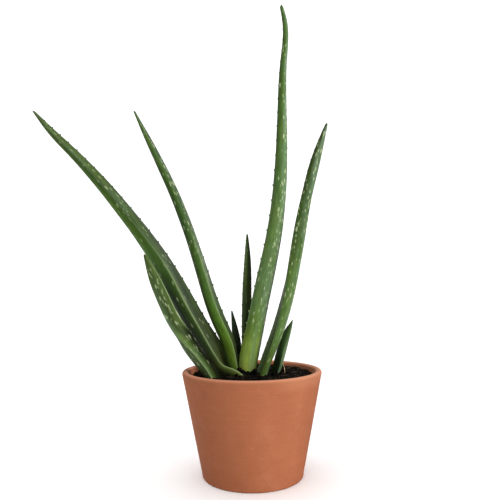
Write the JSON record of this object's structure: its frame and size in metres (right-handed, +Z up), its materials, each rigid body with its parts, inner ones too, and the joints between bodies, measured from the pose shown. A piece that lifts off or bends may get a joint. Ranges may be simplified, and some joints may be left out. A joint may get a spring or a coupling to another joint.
{
  "type": "potted aloe plant",
  "caption": "Small aloe with long, narrow, toothed fleshy leaves fanning out of potting soil in a plain tapered clay pot.",
  "frame": {"origin": "centre of the pot's flat underside, on the surface that it stands on", "axes": "+Z up along the pot's axis, -Y towards the front, +X to the right seen from the front"},
  "size_m": [0.283, 0.13, 0.4459],
  "materials": {
    "terracotta": "unglazed, matte",
    "potting_soil": "moist potting soil",
    "stem_skin": "soft, pale plant stem",
    "leaf_tall_skin": "fleshy leaf, waxy",
    "leaf_long_left_skin": "fleshy leaf, waxy",
    "leaf_short_left_skin": "fleshy leaf, waxy",
    "leaf_mid_left_skin": "fleshy leaf, waxy",
    "leaf_long_right_skin": "fleshy leaf, waxy",
    "leaf_small_right_skin": "fleshy leaf, waxy",
    "leaf_inner_back_skin": "fleshy leaf, waxy",
    "leaf_bud_back_skin": "fleshy leaf, waxy"
  },
  "bodies": {
    "root": {"pot": "terracotta", "soil": "potting_soil", "stem": "stem_skin", "leaf_tall": "leaf_tall_skin", "leaf_long_left": "leaf_long_left_skin", "leaf_short_left": "leaf_short_left_skin", "leaf_mid_left": "leaf_mid_left_skin", "leaf_long_right": "leaf_long_right_skin", "leaf_small_right": "leaf_small_right_skin", "leaf_inner_back": "leaf_inner_back_skin", "leaf_bud_back": "leaf_bud_back_skin"}
  },
  "joints": []
}
